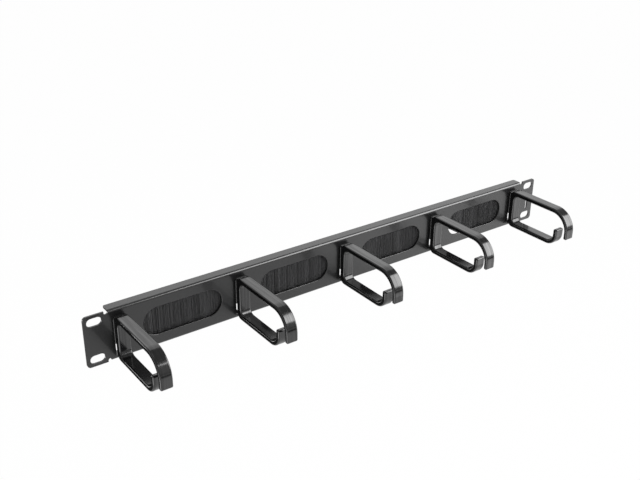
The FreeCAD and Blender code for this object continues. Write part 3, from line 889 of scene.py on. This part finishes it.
@dataclass(frozen=True)
class Studio:
    """Pale floor, white surroundings, softboxes and the camera.

    Each painted dark reflection spot is a place on the floor, along X and Y, with the radii
    between which gloss sees the floor's painted reflection rise from dark to white. room gives the
    walls' level by the height of a ray.
    """

    eye: tuple[float, float, float] = (-0.4349, -0.5568, 0.3584)
    azimuth: float = 36.284
    elevation: float = 25.728
    roll: float = -0.618
    lens: float = 50.50
    floor_drop: float = 0.6
    floor_reach: float = 12.0
    floor_paint: float = 0.88
    floor_glow: float = 0.985
    dull_stain_and_painted_dark_reflection: float = 0.15
    painted_dark_reflection_spots: tuple[tuple[float, float, float, float], ...] = (
        (-0.75, 0.95, 0.35, 0.75), (2.2, -4.5, 2.0, 2.8))
    fill: float = 0.8
    room: tuple[tuple[float, float], ...] = (
        (0.0, 0.4), (0.15, 0.6), (0.5, 0.6), (0.7, 0.3), (0.94, 0.3), (0.99, 0.9))
    lamps: tuple[Lamp, ...] = (
        Lamp("key_softbox", 50.0, 29.0, 21.6, 1.5, (1.1, 1.35), 5.4),
        Lamp("back_softbox", 150.0, 36.0, 0.0, 1.6, (2.0, 1.4), 0.92),
        Lamp("low_card", 60.0, -20.0, 0.0, 1.1, (1.0, 0.35), 0.7),
        Lamp("left_strip", -143.0, -11.0, 0.0, 1.4, (0.5, 0.3), 5.0),
        Lamp("left_card", -95.0, -26.0, 0.0, 1.0, (0.8, 0.25), 2.5),
    )

    def build(self) -> None:
        """Sets up everything round the object."""
        low, high = cad_bounds
        middle = (low + high) / 2
        self.floor(low.z - self.floor_drop)
        self.world()
        for lamp in self.lamps:
            lamp.build(middle)
        self.camera()
        bpy.context.scene.view_settings.view_transform = "Standard"

    def floor(self, height: float) -> None:
        """Lays a pale floor, plain to the eye, well below the object, which its rack would hold.
        Glossy rays see painted dark patches on it round the painted dark reflection spots.

        Args:
            height: The floor's level.
        """
        reach = self.floor_reach
        corners = np.array([[-reach, -reach, height], [reach, -reach, height],
                            [reach, reach, height], [-reach, reach, height]])
        mesh = bpy.data.meshes.new("studio_floor")
        mesh.from_pydata(corners, [], [(0, 1, 2, 3)])
        material, g = new_material("white_floor_with_painted_dark_reflections")
        eye, shine = g.rays()
        outside_painted_dark_spots: Number = 1.0
        # painted reflection: round each spot glossy rays see the floor dark grey, standing in for
        # dark surroundings; the camera still sees it white
        for across, along, inner, outer in self.painted_dark_reflection_spots:
            away = g.number("ShaderNodeVectorMath", {"operation": "DISTANCE"},
                            {0: g.place(), 1: (across, along, height)}, "Value")
            outside_painted_dark_spots = away.between(inner, outer) * outside_painted_dark_spots
        paint = g.node("ShaderNodeBsdfDiffuse", {}, {"Color": (*[self.floor_paint] * 3, 1.0)})
        # the grey of the painted dark reflection
        dull_stain_and_painted_dark_reflection = (self.dull_stain_and_painted_dark_reflection, self.dull_stain_and_painted_dark_reflection, self.dull_stain_and_painted_dark_reflection)
        glow = g.node("ShaderNodeEmission", {}, {
            "Color": g.tint(eye + shine * outside_painted_dark_spots, dull_stain_and_painted_dark_reflection, (1.0, 1.0, 1.0)), "Strength": 1.0})
        mixed = g.node("ShaderNodeMixShader", {}, {0: (eye + shine) * self.floor_glow,
                                                   1: paint.outputs[0], 2: glow.outputs[0]})
        g.node("ShaderNodeOutputMaterial", {}, {"Surface": mixed.outputs[0]})
        mesh.materials.append(material)
        floor = bpy.data.objects.new("studio_floor", mesh)
        bpy.context.scene.collection.objects.link(floor)

    def world(self) -> None:
        """White to the eye, and to everything else white walls under a duller ceiling.

        The level follows the height of a ray's direction. Gloss sees the walls at full level,
        and diffuse light is a plain even fill.
        """
        world = bpy.data.worlds.new("white_studio")
        bpy.context.scene.world = world
        world.use_nodes = True
        g = Graph(world.node_tree)
        eye, shine = g.rays()
        way = g.parts(g.node("ShaderNodeTexCoord").outputs["Generated"])
        room = g.number("ShaderNodeValToRGB", {"stops": self.room}, {0: way[2]})
        shown = eye + (1.0 - eye) * (shine * (1.0 - self.fill) + self.fill) * room
        sky = g.node("ShaderNodeBackground", {}, {"Color": (1.0, 1.0, 1.0, 1.0),
                                                  "Strength": shown})
        g.node("ShaderNodeOutputWorld", {}, {"Surface": sky.outputs[0]})

    def camera(self) -> None:
        """Places the camera by its eye point, heading, tilt and roll."""
        data = bpy.data.cameras.new("camera")
        data.sensor_width = 36.0
        data.lens = self.lens
        data.clip_start, data.clip_end = 0.01, 50.0
        camera = bpy.data.objects.new("camera", data)
        turn = (Matrix.Rotation(math.radians(-self.azimuth), 4, "Z")
                @ Matrix.Rotation(math.radians(90.0 - self.elevation), 4, "X")
                @ Matrix.Rotation(math.radians(-self.roll), 4, "Z"))
        camera.matrix_world = Matrix.Translation(Vector(self.eye)) @ turn
        bpy.context.scene.collection.objects.link(camera)
        bpy.context.scene.camera = camera


def main() -> None:
    """Builds the object's dress and the studio."""
    logging.basicConfig(level=logging.INFO, format="%(name)s %(message)s")
    RackPanel().build()
    Studio().build()


if __name__ == "__main__":
    main()
